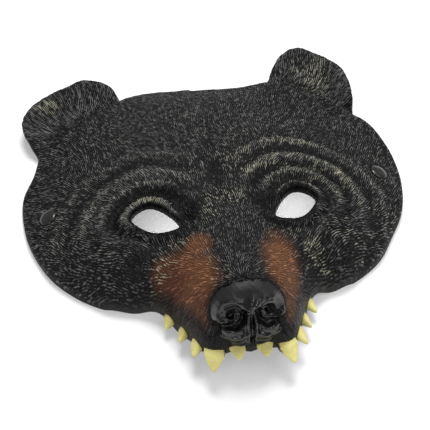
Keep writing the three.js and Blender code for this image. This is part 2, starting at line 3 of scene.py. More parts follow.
import bpy
import numpy as np
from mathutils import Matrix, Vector


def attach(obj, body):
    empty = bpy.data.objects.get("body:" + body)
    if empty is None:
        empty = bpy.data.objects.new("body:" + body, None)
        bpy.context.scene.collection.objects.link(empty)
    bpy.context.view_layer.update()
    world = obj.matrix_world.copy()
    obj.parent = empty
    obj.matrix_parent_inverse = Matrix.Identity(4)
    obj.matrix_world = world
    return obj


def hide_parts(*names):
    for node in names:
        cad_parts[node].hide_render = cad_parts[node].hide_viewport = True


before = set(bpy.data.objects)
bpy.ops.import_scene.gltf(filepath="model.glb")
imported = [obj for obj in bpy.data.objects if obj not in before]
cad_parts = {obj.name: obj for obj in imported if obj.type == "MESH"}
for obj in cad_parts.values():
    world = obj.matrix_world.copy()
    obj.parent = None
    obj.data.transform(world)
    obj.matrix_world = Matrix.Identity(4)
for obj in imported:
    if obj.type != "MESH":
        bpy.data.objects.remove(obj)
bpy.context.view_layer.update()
scene = bpy.context.scene
mm = 0.001
print("frame loaded")

shot = {
    "azimuth": -10,  # degrees, from the left
    "elevation": 52,
    "distance": 0.9,
    "lens": 130.4,
    "target": (-0.001, 0.00136, 0),
}


def linked(name, data):
    thing = bpy.data.objects.new(name, data)
    scene.collection.objects.link(thing)
    return thing


def makeCamera():
    data = bpy.data.cameras.new("camera")
    data.lens = shot["lens"]
    camera = linked("camera", data)
    turn, rise = math.radians(shot["azimuth"]), math.radians(shot["elevation"])
    back = Vector((math.sin(turn) * math.cos(rise), -math.cos(turn) * math.cos(rise), math.sin(rise)))
    camera.location = Vector(shot["target"]) + back * shot["distance"]
    camera.rotation_euler = back.to_track_quat("Z", "Y").to_euler()
    scene.camera = camera


makeCamera()

# Sizes are in mm, in the plan of the face: x to the right, y towards the ears.
face = {
    "width": 221, "browReach": 95, "chinReach": 105, "bridgeHeight": 50, "wall": 3.4,
    "offset": (0.0005, 1.3582, 0),  # from the middle of the face to the model's origin
    "earReach": 118, "margin": 3,  # how far up the ears may reach, and room round the outline
    "frontStep": 0.66, "backStep": 3,  # grids of the outer and the inner skin
    "slopeStep": 1.5, "leastWall": 0.6, "rimRound": 1.3, "tableGap": 0.5,
    "tuft": {"seed": 41, "depth": 0.35, "pitch": 2.3, "from": (45, 80)},  # ragged edge of the brow
    # plan outline of the right half, from the middle of the brow to the middle of the lip
    "outline": [
        (0, 1.0), (0.13, 0.997), (0.28, 0.992), (0.42, 0.965), (0.62, 0.84), (0.81, 0.68), (0.885, 0.56),
        (0.978, 0.335), (1.0, 0.18), (0.994, 0), (0.955, -0.165), (0.884, -0.305), (0.775, -0.45),
        (0.63, -0.555), (0.509, -0.6), (0.415, -0.625), (0.363, -0.672), (0.312, -0.77), (0.266, -0.872),
        (0.23, -0.95), (0.182, -0.99), (0.109, -0.988), (0, -0.992)],
    # heights as shares of bridgeHeight: a row for each section, a column for each station across
    "stations": [0, 0.09, 0.18, 0.27, 0.36, 0.47, 0.6, 0.725, 0.86, 1.015],
    "sections": [
        (-1.1, [0, 0, -0.1, -0.3, -0.5, -0.6, -0.7, -0.8, -0.8, -0.8]),
        (-1.0, [0.39, 0.39, 0.37, 0.12, -0.4, -0.6, -0.7, -0.8, -0.8, -0.8]),
        (-0.935, [0.76, 0.73, 0.58, 0.24, -0.3, -0.5, -0.6, -0.7, -0.8, -0.8]),
        (-0.84, [1.03, 1.0, 0.8, 0.4, -0.12, -0.4, -0.6, -0.7, -0.8, -0.8]),
        (-0.715, [1.09, 1.07, 0.94, 0.62, 0.14, -0.16, -0.4, -0.6, -0.7, -0.8]),
        (-0.57, [1.01, 1.0, 0.92, 0.75, 0.54, 0.29, 0.16, -0.16, -0.4, -0.6]),
        (-0.44, [0.94, 0.93, 0.88, 0.77, 0.7, 0.62, 0.48, 0.25, -0.08, -0.4]),
        (-0.305, [0.86, 0.85, 0.82, 0.78, 0.76, 0.72, 0.62, 0.44, 0.17, -0.16]),
        (-0.17, [0.78, 0.78, 0.77, 0.76, 0.74, 0.71, 0.62, 0.47, 0.27, 0]),
        (0, [0.72, 0.72, 0.72, 0.71, 0.7, 0.66, 0.56, 0.42, 0.27, 0.06]),
        (0.21, [0.64, 0.64, 0.64, 0.64, 0.62, 0.56, 0.46, 0.34, 0.21, 0.06]),
        (0.42, [0.54, 0.54, 0.54, 0.53, 0.51, 0.46, 0.38, 0.28, 0.17, 0.03]),
        (0.63, [0.41, 0.41, 0.4, 0.39, 0.37, 0.34, 0.29, 0.22, 0.11, -0.04]),
        (0.84, [0.25, 0.25, 0.25, 0.24, 0.24, 0.23, 0.22, 0.18, 0.1, 0]),
        (1.02, [0.08, 0.08, 0.08, 0.08, 0.1, 0.14, 0.16, 0.14, 0.08, 0]),
        (1.26, [0, 0, 0, 0, 0.04, 0.08, 0.1, 0.08, 0.04, 0])],
    # where the soft edge has slumped: across, along, spread, shift to the right, tilt
    "slumps": [
        (0.28, 0.98, 0.2, 0, -2.73), (0.54, 1.08, 0.2, 4, 2.94), (0.89, 0.78, 0.17, -4.2, -1.6),
        (0.93, 0.5, 0.13, 0.6, 3.57), (0.68, -0.54, 0.25, -2.9, -0.63), (0.88, -0.31, 0.12, -1.4, 0.5)],
    "snoutSkew": 4, "skewFull": 0.45,  # the skew is whole at this share of chinReach
}
ears = {
    "width": 62.4, "rise": 29.8, "tilt": 35, "rim": 12, "bowl": 6.5, "crease": 0.8, "root": (0.647, 0.78),
    # shares of the rise: the bowl's reach, the crease's place and width, where the ear takes over
    "bowlReach": 0.55, "creaseAt": 0.04, "creaseWidth": 0.13, "blend": (-0.06, 0.3),
    "outline": [
        (-1.0, 0), (-1.03, 0.31), (-0.975, 0.65), (-0.765, 0.93), (-0.44, 0.97), (-0.065, 1.0),
        (0.35, 0.925), (0.69, 0.64), (0.85, 0.31), (0.9, 0), (0.7, -0.45), (0, -0.55), (-0.7, -0.45)],
}
eyes = {
    "width": 25.3, "rightHeight": 20.5, "leftHeight": 22, "lowerLid": (0.352, -0.358),
    "outline": [(-0.5, 0.08), (-0.27, 0.67), (0.06, 1.0), (0.33, 0.9), (0.5, 0.64), (0.36, 0.31),
                (0.07, 0.04), (-0.25, 0)],
    "foldRise": 2, "foldPitch": 12.5,
    "foldFan": (-45, -10, 125, 165),  # degrees between which the upper folds run
    "dent": {"depth": 1.3, "inward": 0.72, "up": 3, "across": 6, "along": 9},
    # distance from the opening in foldPitch, rise in foldRise
    "upperFolds": {
        "right": [(0, 0.7), (0.28, 1.0), (0.62, -0.7), (1.1, 0.75), (1.6, -0.75), (2.08, 0.9), (2.73, -0.65),
                  (3.3, 0.6), (3.77, -0.25), (4.3, 0.2), (4.9, 0)],
        "left": [(0, 0.5), (0.35, 1.1), (0.78, -1.5), (1.35, 0.6), (1.75, 0.2), (2.2, 0.65), (2.85, -0.55),
                 (3.4, 0.35), (4.1, -0.3), (4.7, 0.2), (5.3, 0)]},
    "lowerFolds": [(0, 0.6), (0.2, 0.85), (0.46, -0.7), (0.8, 0.15), (1.2, 0)],
    "furrowDepth": 1.4, "furrowWidth": 9, "furrowSpan": (-0.2, 0, 0.4, 0.7),
}
nose = {
    "width": 39, "height": 38, "bulge": 4, "pitch": 56, "seat": 8, "seatRim": 1.5, "edge": 2.2,
    "middle": (-0.916, 0.765),
    "outline": [(0, 1.0), (0.43, 0.93), (0.79, 0.64), (0.97, 0.26), (1.0, -0.08), (0.945, -0.42),
                (0.78, -0.74), (0.49, -0.96), (0.2, -0.99), (0, -0.91)],
    "crest": [(-1.0, 0.3), (-0.5, 0.75), (0, 0.95), (0.3, 1.0), (0.65, 0.85), (1.0, 0.4)],
    "step": 0.3,
    "behind": [(-3, 0.985), (-6, 0.95), (-9, 0.91)],  # level and size of the rings behind the rim
    "middleLine": 0.8,  # the nose is turned a little to the right
    "nostril": (9.9, 0.1), "ring": (1.34, 1.46),  # nostril's place, size of its rings
    "nostrilDepth": 5, "padStep": 1.3, "grooveDepth": 1.6,
}
rivet = {
    "cap": 10.7, "dome": 1.7, "place": (0.872, 0.055), "sink": 0.4, "fit": 0.3, "sides": 64,
    "post": 3.2, "back": 10, "backThickness": 1.2, "bevel": 0.15, "domeRings": 14,
    "calm": (6.5, 12),  # the folds fade out towards the cap
    "swell": (0.9, 1.3, 1.1),  # height, distance from the seat and width
}
halfWidth = face["width"] / 2


def along(share):
    return share * (face["browReach"] if share > 0 else face["chinReach"])


def smooth(low, high, value):
    t = np.clip((value - low) / (high - low), 0, 1)
    return t * t * (3 - 2 * t)


def bump(value, width):
    return np.exp(-(value / width) ** 2)


# 1 between the two middle limits, fading to 0 at the outer ones
def within(value, start, full, fading, end):
    return smooth(start, full, value) * (1 - smooth(fading, end, value))


# Cubic curve through the values at the knots; values may hold one column for each point
def curveAt(knots, values, at):
    knots, values = np.asarray(knots, float), np.asarray(values, float)
    last = len(knots) - 1
    after = np.minimum(np.arange(last + 1) + 1, last)
    before = np.maximum(np.arange(last + 1) - 1, 0)
    spans = knots[after] - knots[before]
    slopes = (values[after] - values[before]) / (spans if values.ndim == 1 else spans[:, None])
    at = np.clip(at, knots[0], knots[-1])
    i = np.clip(np.searchsorted(knots, at, side="left") - 1, 0, last - 1)
    span = knots[i + 1] - knots[i]
    t = (at - knots[i]) / span
    pick = (lambda rows, k: rows[k]) if values.ndim == 1 else (lambda rows, k: rows[k, np.arange(len(at))])
    start = (1 + 2 * t) * (1 - t) ** 2 * pick(values, i) + t * (1 - t) ** 2 * span * pick(slopes, i)
    end = t * t * (3 - 2 * t) * pick(values, i + 1) + t * t * (t - 1) * span * pick(slopes, i + 1)
    return start + end


perSpan = 3  # points that a closed curve has for each one given


def closedCurve(points):
    p = np.asarray(points, float)
    n = len(p)
    loop = []
    for i in range(n):
        p0, p1, p2, p3 = p[i - 1], p[i], p[(i + 1) % n], p[(i + 2) % n]
        d0, d1, d2 = (math.sqrt(np.linalg.norm(b - a)) for a, b in ((p0, p1), (p1, p2), (p2, p3)))
        m1 = ((p1 - p0) / d0 - (p2 - p0) / (d0 + d1) + (p2 - p1) / d1) * d1
        m2 = ((p2 - p1) / d1 - (p3 - p1) / (d1 + d2) + (p3 - p2) / d2) * d1
        for k in range(perSpan):
            t = k / perSpan
            loop.append(p1 + m1 * t + (-3 * p1 + 3 * p2 - 2 * m1 - m2) * t ** 2
                        + (2 * p1 - 2 * p2 + m1 + m2) * t ** 3)
    return np.array(loop)


def mirrored(half):
    return half + [(-x, y) for x, y in half[-2:0:-1]]


# Distance to a closed line, positive inside it
def insideDistance(loop, x, y):
    nearest = np.full(x.shape, np.inf)
    inside = np.zeros(x.shape, bool)
    for (ax, ay), (bx, by) in zip(loop, np.roll(loop, -1, axis=0)):
        rx, ry = bx - ax, by - ay
        t = np.clip(((x - ax) * rx + (y - ay) * ry) / (rx * rx + ry * ry), 0, 1)
        nearest = np.minimum(nearest, (x - ax - t * rx) ** 2 + (y - ay - t * ry) ** 2)
        if ay != by:
            inside ^= ((ay > y) != (by > y)) & (x < ax + (y - ay) / ry * rx)
    nearest = np.sqrt(nearest)
    return np.where(inside, nearest, -nearest)


faceLoop = closedCurve(mirrored([(a * halfWidth, along(b)) for a, b in face["outline"]]))
earTurn = math.radians(ears["tilt"])
earCentre = np.array([ears["root"][0] * halfWidth, along(ears["root"][1])])
earAlong = np.array([math.cos(earTurn), -math.sin(earTurn)])
earOut = np.array([math.sin(earTurn), math.cos(earTurn)])
earLoop = closedCurve([earCentre + earAlong * r * ears["width"] / 2 + earOut * o * ears["rise"]
                       for r, o in ears["outline"]])


# An eye as if on the right side
def eyeOpening(height):
    lidX, lidY = eyes["lowerLid"][0] * halfWidth, along(eyes["lowerLid"][1])
    loop = closedCurve([(lidX + a * eyes["width"], lidY + u * height) for a, u in eyes["outline"]])
    return {"loop": loop, "x": lidX, "y": lidY + height / 2}


rightEye, leftEye = eyeOpening(eyes["rightHeight"]), eyeOpening(eyes["leftHeight"])
noseLoop = closedCurve(mirrored([(a * nose["width"] / 2, u * nose["height"] / 2)
                                 for a, u in nose["outline"]]))
noseTurn = math.radians(nose["pitch"])
noseCentre = np.array([0, along(nose["middle"][0]), nose["middle"][1] * face["bridgeHeight"]])
noseUp = np.array([0, math.cos(noseTurn), math.sin(noseTurn)])
noseOut = np.array([0, -math.sin(noseTurn), math.cos(noseTurn)])


def headHeight(x, y):
    knots = [-face["stations"][1] * halfWidth] + [s * halfWidth for s in face["stations"]]
    rows = np.array([curveAt(knots, [heights[1]] + heights, np.abs(x)) for _, heights in face["sections"]])
    return curveAt([along(a) for a, _ in face["sections"]], rows * face["bridgeHeight"], y)


# Place in the ear: outward and along the root, as shares of its size
def earPlace(x, y):
    px, py = np.abs(x) - earCentre[0], y - earCentre[1]
    return ((px * earOut[0] + py * earOut[1]) / ears["rise"],
            (px * earAlong[0] + py * earAlong[1]) / (ears["width"] / 2))


def withEars(height, x, y):
    out, side = earPlace(x, y)
    edge = insideDistance(earLoop, np.abs(x), y)
    ear = ears["rim"] - ears["bowl"] * smooth(0, ears["rise"] * ears["bowlReach"], edge)
    crease = ears["crease"] * bump(out - ears["creaseAt"], ears["creaseWidth"])
    crease = crease * (1 - smooth(1, 1.2, np.abs(side)))
    blend = smooth(*ears["blend"], out)
    raised = height * (1 - blend) + ear * blend - crease
    return np.where((out < -1) | (np.abs(side) > 2), height, raised)


def withNoseSeat(height, x, y):
    up = (y - noseCentre[1]) * noseUp[1] + (height - noseCentre[2]) * noseUp[2]
    seat = nose["seat"] * smooth(nose["seatRim"], nose["seat"] * 1.25, insideDistance(noseLoop, x, up))
    return np.where((np.abs(x) > nose["width"]) | (y > along(-0.7)), height, height - seat)


def formHeight(x, y):
    return withNoseSeat(withEars(headHeight(x, y), x, y), x, y)


# Distance outside the nearer eye's opening, and direction from that eye in degrees, 90 towards the brow
def eyeReach(x, y):
    side = np.abs(x)
    right, left = (-insideDistance(eye["loop"], side, y) for eye in (rightEye, leftEye))
    reach = np.where(x > 0, right, left)
    middleY = np.where(x > 0, rightEye["y"], leftEye["y"])
    return reach, np.degrees(np.arctan2(y - middleY, side - rightEye["x"]))


def foldHeight(x, y):
    away = np.abs(x)
    middleY = np.where(x > 0, rightEye["y"], leftEye["y"])
    reach, angle = eyeReach(x, y)
    reach = np.maximum(reach / eyes["foldPitch"], 0)
    upper = within(angle, *eyes["foldFan"])
    fade = 1 + (smooth(0.04, 0.18, away / halfWidth) - 1) * smooth(0.5, 1, reach)
    right, left = (curveAt(*zip(*eyes["upperFolds"][side]), reach) for side in ("right", "left"))
    toRivet = np.hypot(away - rivet["place"][0] * halfWidth, y - along(rivet["place"][1]))
    calm = smooth(*rivet["calm"], toRivet)
    over = np.where(x > 0, right, left) * upper * fade * calm
    under = curveAt(*zip(*eyes["lowerFolds"]), reach) * (1 - upper)
    spot = eyes["dent"]
    dent = spot["depth"] * bump(away - rightEye["x"] + eyes["width"] * spot["inward"], spot["across"])
    dent = dent * bump(y - middleY - spot["up"], spot["along"])
    length = within(y / face["browReach"], *eyes["furrowSpan"])
    furrow = eyes["furrowDepth"] * length * bump(away, eyes["furrowWidth"] / 2)
    return eyes["foldRise"] * (over + under - dent) - furrow


def steepness(surface, x, y):
    step = face["slopeStep"]
    slopeX = (surface(x + step, y) - surface(x - step, y)) / (2 * step)
    slopeY = (surface(x, y + step) - surface(x, y - step)) / (2 * step)
    return np.sqrt(1 + slopeX ** 2 + slopeY ** 2)


def outerSkin(x, y):
    return formHeight(x, y) + foldHeight(x, y)


def innerSkin(x, y):
    return formHeight(x, y) - face["wall"] * steepness(formHeight, x, y)


# The soft mask as it lies: places in the plan are moved a few millimetres
def lying(x, y):
    toRight = np.zeros_like(x)
    tilt = -face["snoutSkew"] * np.abs(x) * smooth(0, face["skewFull"], -y / face["chinReach"]) / halfWidth
    for a, b, spread, shift, lift in face["slumps"]:
        share = bump(np.hypot(np.abs(x) - a * halfWidth, y - along(b)), spread * halfWidth)
        toRight = toRight + shift * share
        tilt = tilt + lift * share
    return x + toRight, y + tilt * np.sign(x)


def toModel(x, y, z):
    x, y = lying(np.asarray(x, float), np.asarray(y, float))
    return np.stack([x + face["offset"][0], y + face["offset"][1], z + face["offset"][2]], axis=-1) * mm


# Soft random field: values on a coarse lattice, blended between its knots
def softNoise(seed, x, y, size):
    lattice = np.random.default_rng(seed).uniform(-1, 1, (64, 64))
    u, v = (x + 200) / size, (y + 200) / size
    i, j = np.floor(u).astype(int), np.floor(v).astype(int)
    s, t = smooth(0, 1, u - i), smooth(0, 1, v - j)
    i, j = i % 63, j % 63
    return ((lattice[i, j] * (1 - s) + lattice[i + 1, j] * s) * (1 - t)
            + (lattice[i, j + 1] * (1 - s) + lattice[i + 1, j + 1] * s) * t)


# Distance inside face and ears, less the eyes, and only where the skin is off the table
def maskDistance(x, y):
    side = np.abs(x)
    inside = np.maximum(insideDistance(faceLoop, x, y), insideDistance(earLoop, side, y))
    tuft = face["tuft"]
    inside = inside + tuft["depth"] * softNoise(tuft["seed"], x, y, tuft["pitch"]) * smooth(*tuft["from"], y)
    reach, _ = eyeReach(x, y)
    return np.minimum(np.minimum(inside, reach), (outerSkin(x, y) - face["tableGap"]) / 1.2)


# Grid over the plan, cut off cleanly where the distance is 0: places, triangles
def clippedSheet(step, low, high, distanceAt):
    xs, ys = (np.arange(low[k], high[k] + step, step) for k in (0, 1))
    x, y = np.meshgrid(xs, ys)
    d = distanceAt(x.ravel(), y.ravel()).reshape(x.shape)
    gradY, gradX = np.gradient(d, step)
    size = np.maximum(gradX ** 2 + gradY ** 2, 0.2)
    near = np.abs(d) < 0.3 * step
    x, y = np.where(near, x - d * gradX / size, x), np.where(near, y - d * gradY / size, y)
    d = np.where(near, 0, d).ravel()
    index = np.arange(x.size).reshape(x.shape)
    cells = (index[:-1, :-1], index[:-1, 1:], index[1:, 1:], index[1:, :-1])
    a, b, c, e = (part.ravel() for part in cells)
    rising = ((np.arange(len(ys) - 1)[:, None] + np.arange(len(xs) - 1)) % 2 == 0).ravel()[:, None]
    first = np.where(rising, np.stack([a, b, c], 1), np.stack([a, b, e], 1))
    second = np.where(rising, np.stack([a, c, e], 1), np.stack([b, c, e], 1))
    triangles = np.concatenate([first, second])
    corner = d[triangles]
    whole = (corner >= 0).all(1) & (corner > 0).any(1)
    places = list(zip(x.ravel(), y.ravel()))
    cuts = {}
    extra = []
    for triangle in triangles[(corner < 0).any(1) & (corner > 0).any(1)]:
        ring = []
        for i, j in zip(triangle, np.roll(triangle, -1)):
            if d[i] >= 0:
                ring.append(int(i))
            if d[i] * d[j] < 0:
                key = (min(i, j), max(i, j))
                if key not in cuts:
                    t = d[i] / (d[i] - d[j])
                    cuts[key] = len(places)
                    (ax, ay), (bx, by) = places[i], places[j]
                    places.append((ax + (bx - ax) * t, ay + (by - ay) * t))
                ring.append(cuts[key])
        extra += [(ring[0], ring[k], ring[k + 1]) for k in range(1, len(ring) - 1)]
    triangles = np.concatenate([triangles[whole], np.array(extra, int)])
    used, flat = np.unique(triangles, return_inverse=True)
    return np.array(places)[used], flat.reshape(triangles.shape)


# Closed rings of edges that only one triangle uses, in the triangles' own direction
def edgeRings(triangles):
    edges = np.concatenate([triangles[:, pair] for pair in ([0, 1], [1, 2], [2, 0])])
    known = set(map(tuple, edges))
    after = {}
    for i, j in edges:
        if (j, i) not in known:
            after.setdefault(int(i), []).append(int(j))
    rings = []
    while after:
        start = next(iter(after))
        ring, at = [start], start
        while True:
            following = after[at].pop()
            if not after[at]:
                del after[at]
            if following == start:
                break
            ring.append(following)
            at = following
        rings.append(ring)
    return sorted((r for r in rings if len(r) > 8), key=len, reverse=True)


# Band of triangles between two rings that run the same way round
def zipped(upper, lower, places):
    top, bottom = places[upper], places[lower]
    start = int(np.argmin(((top - bottom[0]) ** 2).sum(1)))
    upper, top = upper[start:] + upper[:start], np.roll(top, -start, axis=0)
    shares = []
    for line in (top, bottom):
        steps = np.linalg.norm(np.roll(line, -1, axis=0) - line, axis=1)
        shares.append(np.concatenate([[0], np.cumsum(steps)]) / steps.sum())
    i = j = 0
    band = []
    while i < len(upper) or j < len(lower):
        a, b = upper[i % len(upper)], lower[j % len(lower)]
        if j == len(lower) or (i < len(upper) and shares[0][i + 1] <= shares[1][j + 1]):
            i += 1
            band.append((a, b, upper[i % len(upper)]))
        else:
            j += 1
            band.append((a, b, lower[j % len(lower)]))
    return band


def makePiece(name, places, triangles, attributes=None, sharpRings=()):
    mesh = bpy.data.meshes.new(name)
    mesh.vertices.add(len(places))
    mesh.vertices.foreach_set("co", np.asarray(places, np.float32).ravel())
    triangles = np.asarray(triangles, np.int32)
    mesh.loops.add(triangles.size)
    mesh.loops.foreach_set("vertex_index", triangles.ravel())
    mesh.polygons.add(len(triangles))
    mesh.polygons.foreach_set("loop_start", np.arange(0, triangles.size, 3, dtype=np.int32))
    mesh.update(calc_edges=True)
    mesh.polygons.foreach_set("use_smooth", np.ones(len(triangles), bool))
    for label, values in (attributes or {}).items():
        layer = mesh.attributes.new(label, "FLOAT", "POINT")
        layer.data.foreach_set("value", np.asarray(values, np.float32))
    if sharpRings:
        sharp = {frozenset(pair) for ring in sharpRings for pair in zip(ring, ring[1:] + ring[:1])}
        layer = mesh.attributes.new("sharp_edge", "BOOLEAN", "EDGE")
        layer.data.foreach_set("value", [frozenset(e.vertices) in sharp for e in mesh.edges])
    mesh.validate()
    return linked(name, mesh)


fur = {
    "cell": 0.3, "margin": 4,
    "tufts": {"seed": 3, "share": 0.35, "spacing": 4.2, "length": (6, 9), "width": (1.3, 1.9),
              "height": (0.2, 0.6)},
    "strokes": {"seed": 7, "share": 0.8, "spacing": 1.35, "length": (2.3, 4.8), "width": (0.45, 0.7),
                "height": (0.35, 1.0)},
    "jitter": 1.3, "earLonger": 0.7,
    "relief": 1.0,  # mm from a groove to a full ridge
    "level": 0.3,  # between the two, where the skin keeps its place
    "stray": 14,  # degrees by which neighbouring strokes differ
    "source": 86,  # the hair fans out from this far below the middle
    "earFan": 32, "eyeReach": (9, 30), "eyeFan": (-60, -20, 130, 170),
    "swirls": ((22, 11, 26), (14, 12, 9)),  # degrees, seed and size
}


# Direction in which the hair lies, in degrees, in the plan
def furAngle(x, y):
    side = np.abs(x)
    sign = np.where(x < 0, -1.0, 1.0)
    vx, vy = side, y + fur["source"]
    size = np.hypot(vx, vy) + 1e-6
    vx, vy = vx / size, vy / size
    out, root = earPlace(x, y)
    inEar = smooth(-0.1, 0.25, out) * (np.abs(root) < 1.3)
    fan = np.radians(-fur["earFan"] * root)
    ex = earOut[0] * np.cos(fan) - earOut[1] * np.sin(fan)
    ey = earOut[0] * np.sin(fan) + earOut[1] * np.cos(fan)
    vx, vy = vx * (1 - inEar) + ex * inEar, vy * (1 - inEar) + ey * inEar
    reach, angle = eyeReach(x, y)
    nearEye = (1 - smooth(*fur["eyeReach"], reach)) * within(angle, *fur["eyeFan"])
    rx, ry = np.cos(np.radians(angle)), np.sin(np.radians(angle))
    vx, vy = vx * (1 - nearEye) + rx * nearEye, vy * (1 - nearEye) + ry * nearEye
    swirl = sum(turn * softNoise(seed, x, y, size) for turn, seed, size in fur["swirls"])
    return np.degrees(np.arctan2(vy, vx * sign)) + swirl


# Strokes of one kind pressed into a grid of heights
def pressedStrokes(rows, columns, origin, kind):
    heights = np.zeros((rows, columns))
    rng = np.random.default_rng(kind["seed"])
    cell, spacing = fur["cell"], kind["spacing"]
    xs, ys = np.meshgrid(np.arange(origin[0], origin[0] + columns * cell, spacing),
                         np.arange(origin[1], origin[1] + rows * cell, spacing))
    x = xs.ravel() + rng.uniform(-0.5, 0.5, xs.size) * spacing * fur["jitter"]
    y = ys.ravel() + rng.uniform(-0.5, 0.5, xs.size) * spacing * fur["jitter"]
    inside = maskDistance(x, y) > -2
    x, y = x[inside], y[inside]
    turn = np.radians(furAngle(x, y) + rng.normal(0, fur["stray"], len(x)))
    length, width, height = (rng.uniform(*kind[key], len(x)) for key in ("length", "width", "height"))
    length = length * (1 + fur["earLonger"] * smooth(0, 0.35, earPlace(x, y)[0]))
    sway = rng.uniform(-0.5, 0.5, len(x))
    for k in range(len(x)):
        half = length[k] / 2
        c, s = math.cos(turn[k]), math.sin(turn[k])
        reachX, reachY = abs(c) * half + abs(s) * width[k] * 2, abs(s) * half + abs(c) * width[k] * 2
        i0, i1 = int((x[k] - reachX - origin[0]) / cell), int((x[k] + reachX - origin[0]) / cell) + 2
        j0, j1 = int((y[k] - reachY - origin[1]) / cell), int((y[k] + reachY - origin[1]) / cell) + 2
        i0, j0, i1, j1 = max(i0, 0), max(j0, 0), min(i1, columns), min(j1, rows)
        if i0 >= i1 or j0 >= j1:
            continue
        px = origin[0] + np.arange(i0, i1) * cell - x[k]
        py = (origin[1] + np.arange(j0, j1) * cell - y[k])[:, None]
        u = (px * c + py * s) / half
        v = (-px * s + py * c) / width[k] - sway[k] * u * u
        lift = np.clip(1.15 - 0.15 * u, 0, 1) * np.clip((1 - u) * 3.2, 0, 1) * np.clip((1 + u) * 1.1, 0, 1)
        ridge = height[k] * lift * np.clip(1 - v * v * (1.2 + 0.8 * u), 0, 1)
        patch = heights[j0:j1, i0:i1]
        np.maximum(patch, ridge, out=patch)
    return heights


def furField():
    margin = fur["margin"]
    origin = (-halfWidth - margin, -face["chinReach"] - margin)
    columns = int(2 * (halfWidth + margin) / fur["cell"]) + 2
    rows = int((face["chinReach"] + margin + face["earReach"]) / fur["cell"]) + 2
    field = sum(kind["share"] * pressedStrokes(rows, columns, origin, kind)
                for kind in (fur["tufts"], fur["strokes"]))

    def at(x, y):
        u, v = (x - origin[0]) / fur["cell"], (y - origin[1]) / fur["cell"]
        i, j = np.clip(u.astype(int), 0, columns - 2), np.clip(v.astype(int), 0, rows - 2)
        s, t = u - i, v - j
        return ((field[j, i] * (1 - s) + field[j, i + 1] * s) * (1 - t)
                + (field[j + 1, i] * (1 - s) + field[j + 1, i + 1] * s) * t)
    return at


furAt = furField()
print("fur pressed")

# place x, y and reach across, along in mm, turn in degrees, strength
paint = {
    "tan": [(-26, -73, 15, 25, 12, 1.0), (-20, -54, 9, 9, 0, 0.8), (-37, -56, 9, 7, 0, 0.6),
            (-37, -68, 9, 12, 0, 0.6), (23, -71, 12.5, 25, -8, 1.0), (24, -89, 8, 12, 0, 0.7)],
    "rust": [(-35, -66, 9, 14, 10, 1.0), (-27, -86, 9, 10, 0, 0.6), (31, -86, 6, 12, 0, 0.4)],
    "dust": [(-86, 91, 9, 5.5, 25, 0.8), (-58, 97, 12, 8, 0, 0.2), (76, 88, 12, 17, -30, 0.8),
             (66, 96, 9, 7, 0, 0.45), (-22, 58, 26, 9, 8, 0.28), (-54, 38, 9, 18, -30, 0.28),
             (-70, 5, 8, 22, -8, 0.3),
             (14, 10, 16, 18, 0, 0.6), (2, -18, 16, 13, 0, 0.72), (-14, 12, 10, 14, 0, 0.3),
             (46, 24, 24, 5, -12, 0.9), (47, 0, 25, 5, -8, 0.9), (46, -10, 17, 4, -5, 0.85),
             (70, -6, 7, 18, -14, 0.8), (30, 10, 12, 14, 0, 0.5), (20, 36, 16, 10, 0, 0.35),
             (-40, -13, 16, 4, 6, 0.9), (-30, -47, 10, 5, -15, 0.7), (-38, -57, 7, 10, 10, 0.8),
             (-43, -68, 8, 10, 0, 0.8), (44, -53, 11, 9, 25, 1.0), (49, -62, 8, 9, 0, 0.9),
             (33, -45, 8, 5, 0, 0.6), (-10, -31, 10, 8, -35, 0.85), (68, -45, 22, 11, -35, 0.42),
             (91, -30, 12, 20, -25, 0.36), (96, 10, 9, 24, 0, 0.35), (36, -80, 5, 12, 0, 0.5),
             (-11, -80, 9, 8, 30, 0.5), (10, -81, 8, 7, 0, 0.35),
             (-90, -10, 14, 26, 0, 0.22), (-60, -40, 26, 14, 0, 0.2), (0, 40, 60, 24, 0, 0.16)],
    # black paint, and painted shade in the inner corners of the eyes and in the creases
    "inkAndShade": [(54, -25, 5, 2.8, -25, 1.0), (-50, -49, 11, 6, 15, 0.9), (-18.5, -25, 6.5, 14, 10, 1.0),
            (23, -36, 5, 7, 0, 0.7), (-24, -6, 12, 4.5, -20, 0.9), (3, -60, 5, 14, 0, 0.5),
            (0, -101, 26, 5, 0, 0.9), (-34, -90, 6, 9, 30, 0.6), (30, -93, 5, 8, -20, 0.6)],
}


def painted(rows, x, y):
    amount = np.zeros_like(x)
    for cx, cy, across, length, turn, strength in rows:
        c, s = math.cos(math.radians(turn)), math.sin(math.radians(turn))
        u, v = ((x - cx) * c + (y - cy) * s) / across, (-(x - cx) * s + (y - cy) * c) / length
        amount = np.maximum(amount, strength * (1 - smooth(0.35, 1.15, np.hypot(u, v))))
    return amount


teeth = {
    "width": 12.4, "length": 10.5, "set": 2, "depth": 0.8, "corner": 15, "rings": 26, "sides": 32,
    # place along the lip, width and length in canines, splay and drop in lengths
    "kinds": {
        "incisor": (0.105, 0.78, 0.74, 0.05, 0.16),
        "canine": (0.285, 0.92, 1.0, 0.25, 0.3),
        "fang_front": (0.475, 0.62, 0.72, 0.42, 0.3),
        "fang_middle": (0.66, 0.56, 0.6, 0.5, 0.25),
        "fang_back": (0.845, 0.6, 0.62, 0.45, 0.2)},
    # width along the tooth, from the root to the tip
    "taper": ([0, 0.3, 0.65, 0.93, 0.985, 1], [1, 0.93, 0.58, 0.23, 0.13, 0.03]),
}
wordOf = {1: "right", -1: "left"}


